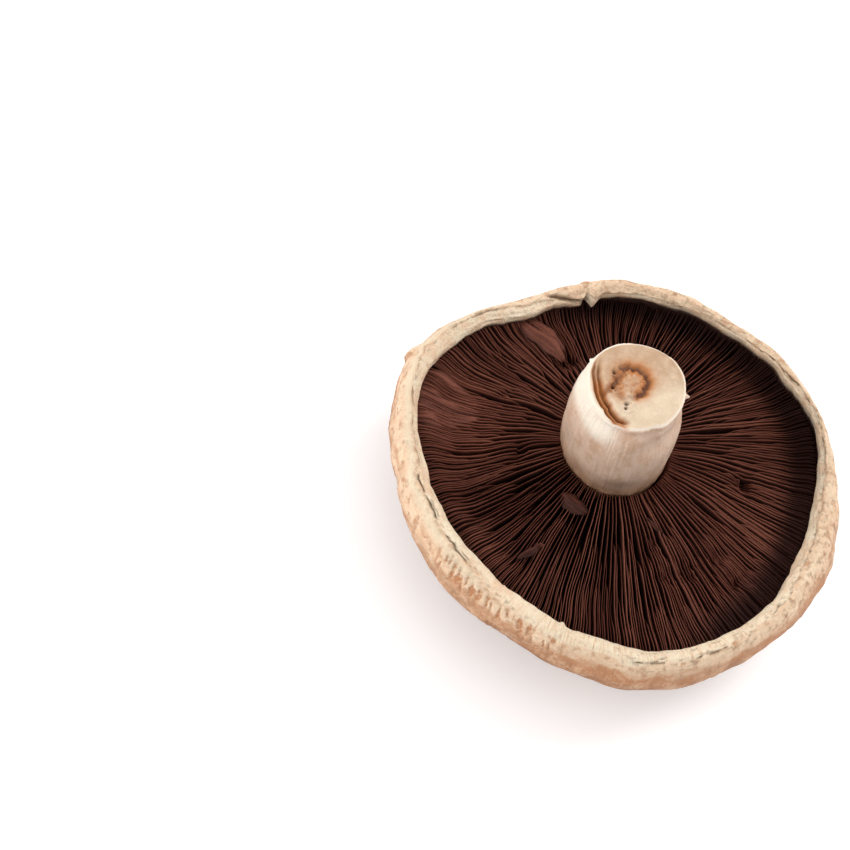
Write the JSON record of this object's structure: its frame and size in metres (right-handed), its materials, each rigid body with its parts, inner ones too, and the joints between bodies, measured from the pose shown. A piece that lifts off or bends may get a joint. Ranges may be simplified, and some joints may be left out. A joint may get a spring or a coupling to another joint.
{
  "type": "portobello mushroom",
  "caption": "Portobello mushroom lying on its cap: domed brown cap with a rolled-in rim, dark gills and a stout cut stem.",
  "frame": {"origin": "centre of the small flat spot on the crown of the cap, on which the mushroom lies", "axes": "+Z from the crown through the flesh towards the cut end of the stem; +X to the right and -Y to the front in the picture's view"},
  "size_m": [0.1207, 0.1175, 0.0583],
  "materials": {
    "cap_skin": "dry matt brown skin with fine radial fibres, paler where the rim rolls in",
    "gill_flesh": "matt dark red-brown plates with a faint damp sheen on their edges",
    "stem_flesh": "pale fibrous flesh, greyer down the side, cream where it is cut"
  },
  "bodies": {
    "root": {"cap": "cap_skin", "gills": "gill_flesh", "stem": "stem_flesh"}
  },
  "joints": []
}
